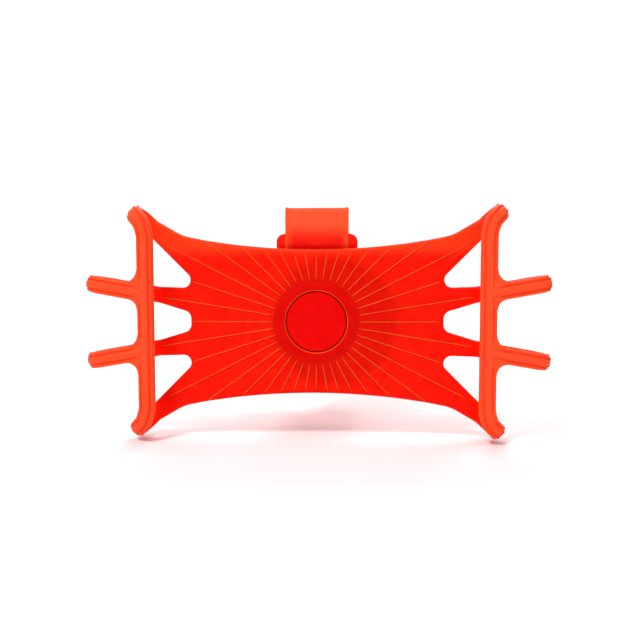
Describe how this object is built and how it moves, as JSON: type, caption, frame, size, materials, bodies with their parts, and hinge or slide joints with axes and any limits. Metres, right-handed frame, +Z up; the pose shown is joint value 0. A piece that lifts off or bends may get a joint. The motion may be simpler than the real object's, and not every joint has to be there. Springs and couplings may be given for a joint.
{
  "type": "bicycle handlebar phone mount",
  "caption": "Stretchy silicone web with finger loops and end rails that grip a phone, on a swivel, with a saddle and hooked slotted strap for a handlebar.",
  "frame": {"origin": "on the handlebar's axis, at the middle of the strap loop's width", "axes": "+X along the phone, +Y back from the phone to the handlebar, +Z up along the phone's short side, towards the top of the strap"},
  "size_m": [0.125, 0.0514, 0.0639],
  "materials": {
    "red_silicone": "satin, slightly translucent red-orange silicone",
    "cap_silicone": "smooth satin red silicone",
    "swivel_plastic": "moulded red plastic",
    "zinc_steel": "zinc plated steel"
  },
  "bodies": {
    "base": {"handlebar_saddle": "red_silicone", "saddle_liner": "red_silicone", "strap_band": "red_silicone", "turntable_dish": "red_silicone", "swivel_cap": "cap_silicone", "swivel_spindle": "swivel_plastic", "pivot_bush": "swivel_plastic", "spring_washer": "zinc_steel", "screw_washer": "zinc_steel", "clamp_screw": "zinc_steel"},
    "cradle": {"cradle_web": "red_silicone"},
    "left_end": {"left_upper_corner_loop": "red_silicone", "left_upper_middle_loop": "red_silicone", "left_lower_middle_loop": "red_silicone", "left_lower_corner_loop": "red_silicone", "left_retaining_rail": "red_silicone"},
    "right_end": {"right_upper_corner_loop": "red_silicone", "right_upper_middle_loop": "red_silicone", "right_lower_middle_loop": "red_silicone", "right_lower_corner_loop": "red_silicone", "right_retaining_rail": "red_silicone"},
    "strap_tail": {"strap_tail": "red_silicone"}
  },
  "joints": [
    {"name": "swivel", "type": "hinge", "parent": "base", "child": "cradle", "pos_m": [0, -0.023, -0.004], "axis": [0, -1, 0], "continuous": true},
    {"name": "left_stretch", "type": "slide", "parent": "cradle", "child": "left_end", "axis": [-1, 0, 0], "range_m": [0, 0.012], "stiffness_N_per_m": 300},
    {"name": "right_stretch", "type": "slide", "parent": "cradle", "child": "right_end", "axis": [1, 0, 0], "range_m": [0, 0.012], "stiffness_N_per_m": 300},
    {"name": "strap_unhook", "type": "hinge", "parent": "base", "child": "strap_tail", "pos_m": [0, 0.01825, 0.00681], "axis": [1, 0, 0], "range_deg": [0, 90], "stiffness_Nm_per_rad": 0.01}
  ]
}
